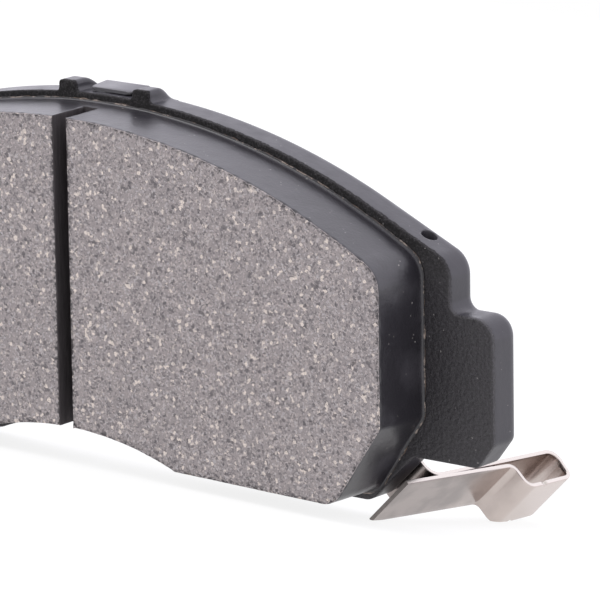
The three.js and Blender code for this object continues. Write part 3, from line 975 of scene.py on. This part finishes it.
def folded_tab(shell, side, centre):
    """One of the shim's tabs, over the plate's top edge (side 1) or under its bottom (side -1)."""
    points = tab_points(side, centre)
    low, high = points.min(axis=0), points.max(axis=0)
    thickness = CORE_BACK - CORE_FRONT
    middle = (CORE_BACK + CORE_FRONT) / 2
    heights = points[points[:, 1] < low[1] + 0.05][:, 2]
    tip = (heights.min() + heights.max()) / 2
    if side > 0:
        corner = high[2] - thickness / 2
        root = level_z("shim_outer_coat", side) - TAB_ROOT
    else:
        corner = low[2] + thickness / 2
        root = corner + TAB_ROOT + TAB_BEND
    route = tab_route((middle, root), (middle, corner), (low[1], tip))
    bent_tab(shell, low[0], high[0], route, thickness)


def shim_sheet_piece(materials):
    """The shim's steel sheet with its folded tabs."""
    shell = Shell()
    outer = outlines("shim_outer_coat", SHIM_BACK, FINE)[0]
    shell.close(shell.stack(soft_edged(outer, CORE_FRONT, CORE_BACK, SHEET_EDGE)))
    folded_tab(shell, 1, 0)
    folded_tab(shell, -1, BOTTOM_TAB_X)
    folded_tab(shell, -1, -BOTTOM_TAB_X)
    return shell.piece("shim_sheet", materials)


# ---- the wear indicator --------------------

DIAGONAL = math.sqrt(0.5)
OUTWARDS = np.array([DIAGONAL, 0, -DIAGONAL])
ACROSS = np.array([-DIAGONAL, 0, -DIAGONAL])
CROWN_REACH = 0.16  # how far each half of the strip runs on, to meet the other at the crown
SHEAR_ROLL = 0.1  # how far up a cut edge its rolled corner goes
SHEAR_PROFILE = [(2, 0), (0.4, 0.3), (0, 1)]  # that corner, in and up, as shares of the roll
BURR = 0.04  # size of the broken corner on the other side
STRIP_RIM = 0.8  # how wide the band beside each cut edge is
SHEARED = {3, 4, 8, 9}  # the faces round the strip's section that are its cut edges
NICK_AT = 19.5  # how far along Y the nick in the strip's edges is
NICK_HALF = 0.35  # half its length along the strip
NICK_DEPTH = 0.4
RIVET_BORE = 0.15  # where the turned rivet's profile stops, short of its axis
RIVET_DIMPLE = [(RIVET_BORE, 0.9), (0.9, 0.75), (1.35, 0.3), (1.7, 0.05)]  # radius and depth
RIVET_ROLL = [(0.35, 0), (0.08, 0.08), (0.05, 0.2)]  # the tail's edge: how far in, and depth
RIVET_FLARE = 1.2  # where the tail becomes the shank
HEAD_FOOT = (0.25, 0.12)  # the head's chamfer where it sits on the strip
HEAD_CURVE = 0.8  # how full the head's dome is: 1 is a plain ellipse, and less is fuller


def strip_route(node):
    """The strip's centreline [y, v] from the crown, its near edge's place along ACROSS at each
    of those points, its far edge's place, and its thickness."""
    points, _ = welded(node)
    far = (points @ ACROSS).max()
    loop = flat_loops(node, ACROSS, far)[0]
    flat = np.stack([loop[:, 1], loop @ OUTWARDS], axis=1)
    ahead = np.roll(flat, -1, axis=0) - flat
    size = np.linalg.norm(ahead, axis=1)
    turn = (unit(ahead) * unit(flat - np.roll(flat, 1, axis=0))).sum(axis=1)
    square = np.abs(turn) < 0.3
    ends = [i for i in range(len(flat)) if square[i] and square[(i + 1) % len(flat)]]
    first = min(ends, key=lambda i: size[i])
    flat = np.roll(flat, -(first + 1), axis=0)
    half = len(flat) // 2
    route = (flat[:half] + flat[::-1][:half]) / 2
    if route[0][0] < route[-1][0]:
        route = route[::-1]
    thickness = float(np.median(np.linalg.norm(flat[:half] - flat[::-1][:half], axis=1)))
    side = np.stack([points[:, 1], points @ OUTWARDS], axis=1)
    near = [(points[np.linalg.norm(side - p, axis=1) < thickness] @ ACROSS).min() for p in route]
    return route, np.array(near), far, thickness


def sheared_edge(side, sign, cut, half):
    """The section [w, t] of one edge of the strip, from its rolled corner to its burr."""
    rim = side + sign * STRIP_RIM
    edge = side + sign * cut
    rolled = [(edge + sign * SHEAR_ROLL * w, -half + SHEAR_ROLL * t) for w, t in SHEAR_PROFILE]
    return [(rim, -half), *rolled, (edge, half - BURR), (edge + sign * BURR, half), (rim, half)]


def strip(node, name, nick_depth, materials):
    """A length of the indicator's strip: a flat wire with sheared edges swept along its route."""
    route, near, far, thickness = strip_route(node)
    fine = curved(route, 0.25, closed=False, corner=50)
    reach, at = distances(route), distances(fine)
    top = np.interp(at / at[-1] * reach[-1], reach, near)
    along = unit(np.gradient(fine, axis=0))
    fine[0] -= along[0] * CROWN_REACH
    nick = np.exp(-((fine[:, 0] - NICK_AT) / NICK_HALF) ** 4) * nick_depth
    shell = Shell()
    rings = []
    half = thickness / 2
    for p, n, low, cut in zip(fine, left_of(along), top, nick):
        section = sheared_edge(low, 1, cut, half) + sheared_edge(far, -1, cut, half)[::-1]
        rings.append(shell.ring3([
            ACROSS * w + OUTWARDS * (p[1] + n[1] * t) + ALONG_Y * (p[0] + n[0] * t)
            for w, t in section
        ]))
    shell.sweep(rings, lambda i: 1 if i in SHEARED else 0, (0, 2))
    return shell.piece(name, materials)


def rivet(materials):
    """The rivet: a domed head on the strip, a shank, and a rolled tail in the plate's front."""
    low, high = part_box("wear_indicator_rivet")
    centre = np.array([(low.x + high.x) / 2, 0, (low.z + high.z) / 2]) / MM
    head = (high.x - low.x) / 2 / MM
    seat = PLATE_BACK + strip_route("wear_indicator_base")[3]
    dome = level("wear_indicator_rivet", 1) - seat
    points, _ = welded("wear_indicator_rivet")
    radii = np.linalg.norm((points - centre)[:, [0, 2]], axis=1)
    shank = radii[(points[:, 1] > PLATE_FRONT + 1) & (radii > 1)].min()
    tail = radii[points[:, 1] < PLATE_FRONT + 0.1].max()
    chamfer, foot = HEAD_FOOT
    profile = [(radius, PLATE_FRONT + depth) for radius, depth in RIVET_DIMPLE]
    profile += [(tail - across, PLATE_FRONT + depth) for across, depth in RIVET_ROLL]
    profile += [(shank, PLATE_FRONT + RIVET_FLARE), (shank, seat), (head - chamfer, seat)]
    for k in range(13):
        turn = math.pi / 2 * k / 12
        radius = max(head * math.cos(turn) ** HEAD_CURVE, RIVET_BORE)
        profile.append((radius, seat + foot + (dome - foot) * math.sin(turn)))
    turns = np.linspace(0, 2 * math.pi, 64, endpoint=False)[:, None]
    circle = np.concatenate([np.cos(turns), 0 * turns, np.sin(turns)], axis=1)
    shell = Shell()
    shell.sweep([shell.ring3(centre + ALONG_Y * y + circle * r) for r, y in profile])
    return shell.piece("indicator_rivet", materials)


# ---- camera, floor and light --------------------

CAMERA_TURN = (38.641, 13.886, -1.039)  # azimuth, elevation and roll in degrees
CAMERA_LENS = 372.16  # for a sensor 36 mm wide
CAMERA_AIM = (0.010123, 0.006262)  # how far right and up of the rolled view it really looks
CAMERA_PLACE = (0.58784, -0.71074, 0.21617)  # in metres
FLOOR_NORMAL = (0.0245, 0.2, 1)
FLOOR_POINT = (50.3, -7.3, -30.6)
FLOOR_HALF = 1.5  # half the floor's side, in metres
SKY_FRONT = (0.88, 0.87, 0.88)  # on the camera's side
SKY_BEHIND = (1.6, 1.57, 1.72)
SKY_TURN = 0.6  # how far up and down the Y direction the change from one to the other reaches


def photo_camera():
    """A long lens that looks down the pad from its right front."""
    azimuth, elevation, roll = (math.radians(a) for a in CAMERA_TURN)
    data = bpy.data.cameras.new("camera")
    data.sensor_width = 36
    data.lens = CAMERA_LENS
    data.clip_start, data.clip_end = 0.05, 20
    made = placed("camera", data)
    right = Vector((math.cos(azimuth), math.sin(azimuth), 0))
    back = Vector((math.sin(azimuth) * math.cos(elevation),
                   -math.cos(azimuth) * math.cos(elevation), math.sin(elevation)))
    up = back.cross(right)
    rolled_right = right * math.cos(roll) + up * math.sin(roll)
    rolled_up = up * math.cos(roll) - right * math.sin(roll)
    look = rolled_right * CAMERA_AIM[0] + rolled_up * CAMERA_AIM[1] - back
    back = -look.normalized()
    right = (rolled_right - back * rolled_right.dot(back)).normalized()
    up = back.cross(right)
    place = Matrix((right, up, back)).transposed().to_4x4()
    place.translation = Vector(CAMERA_PLACE)
    made.matrix_world = place
    bpy.context.scene.camera = made


def floor_material():
    """White and almost shadowless from above, clear from below."""
    g = Graph("floor_white")
    g.finish(Base_Color=(0.19, 0.19, 0.19), Roughness=1.0, Emission_Color=(1, 1, 1),
             Emission_Strength=0.84, Specular_IOR_Level=0.0)
    clear = g.node("BsdfTransparent").outputs[0]
    which = g.node("NewGeometry").outputs["Backfacing"]
    both = g.node("MixShader", {0: which, 1: g.shader.outputs[0], 2: clear})
    g.put(g.tree.nodes["Material Output"].inputs["Surface"], both.outputs[0])
    return g.owner


def floor():
    """The surface that the pad leans on, touched by its lower edge and by the indicator."""
    normal = Vector(FLOOR_NORMAL).normalized()
    data = bpy.data.meshes.new("floor")
    corners = [(-1, -1), (1, -1), (1, 1), (-1, 1)]
    data.from_pydata([(x * FLOOR_HALF, y * FLOOR_HALF, 0) for x, y in corners], [], [(0, 1, 2, 3)])
    data.materials.append(floor_material())
    made = placed("floor", data)
    made.rotation_mode = "QUATERNION"
    made.rotation_quaternion = Vector((0, 0, 1)).rotation_difference(normal)
    made.location = Vector(FLOOR_POINT) * MM


def world():
    """Plain white to the camera; what it lights is dimmer on the camera's side than behind."""
    g = Graph("studio", "worlds", "Background")
    around = g.node("TexCoord").outputs["Generated"]
    y = g.node("SeparateXYZ", {"Vector": around}).outputs["Y"]
    sky = g.ramp(g.span(y, -SKY_TURN, SKY_TURN, 0.0, 1.0), [(0, SKY_FRONT), (1, SKY_BEHIND)])
    seen = g.node("LightPath").outputs["Is Camera Ray"]
    bpy.context.scene.world = g.finish(Color=g.mix(seen, sky, (1, 1, 1)))


def softbox(name, place, size, watts):
    """A rectangular light that looks at the origin."""
    data = bpy.data.lights.new(name, "AREA")
    data.shape = "RECTANGLE"
    data.size, data.size_y = size
    data.energy = watts
    made = placed(name, data)
    made.location = place
    made.rotation_mode = "QUATERNION"
    made.rotation_quaternion = (-Vector(place)).to_track_quat("-Z", "Y")


# ---- assembly --------------------

def fit(piece, body, slot, *nodes):
    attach(piece, body)
    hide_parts(*nodes)


photo_camera()
floor()
world()
softbox("key_light", (-0.5, -0.4, 0.9), (0.8, 0.8), 5)

paint = block_paint()
coat = plate_coat()
face = friction_face()
cut = slot_wall()
tan = glue()
rubber = shim_rubber()
steel = spring_steel()
edge = sheared_steel()
cropped = cropped_steel()

fit(backing_plate([coat]), "pad", "powder_coat", "backing_plate")
fit(film("glue_line", "bond_film", BOND_FRONT, PLATE_FRONT, 0.5, 0.2, [tan]),
    "pad", "adhesive", "bond_film")
fit(underlayer([paint, flash_trim(), cut]), "pad", "underlayer", "underlayer")
fit(friction_block("lining_right", "friction_block_right", 31, [face, paint, cut]),
    "pad", "lining", "lining_right")
fit(friction_block("lining_left", "friction_block_left", 37, [face, paint, cut]),
    "pad", "lining", "lining_left")
fit(film("shim_glue", "shim_bond", PLATE_BACK, SHIM_BOND_BACK, 0, 0.05, [tan]),
    "pad", "adhesive", "shim_bond")
fit(film("shim_inner_rubber", "shim_inner_coat", SHIM_BOND_BACK, CORE_FRONT, 0, 0.02, [rubber]),
    "pad", "shim_rubber", "shim_inner_coat")
fit(film("shim_outer_rubber", "shim_outer_coat", CORE_BACK, SHIM_BACK, 0, 0.02, [rubber]),
    "pad", "shim_rubber", "shim_outer_coat")
fit(shim_sheet_piece([shim_sheet()]), "pad", "shim_steel", "shim_core")
fit(strip("wear_indicator_base", "indicator_base_strip", 0, [steel, edge, cropped]),
    "pad", "spring_steel", "wear_indicator_base")
fit(strip("wear_indicator_arm", "indicator_arm_strip", NICK_DEPTH, [steel, edge, cropped]),
    "indicator_arm", "spring_steel", "wear_indicator_arm")
fit(rivet([rivet_steel()]), "pad", "spring_steel", "wear_indicator_rivet")

bpy.context.scene.view_settings.view_transform = "Standard"
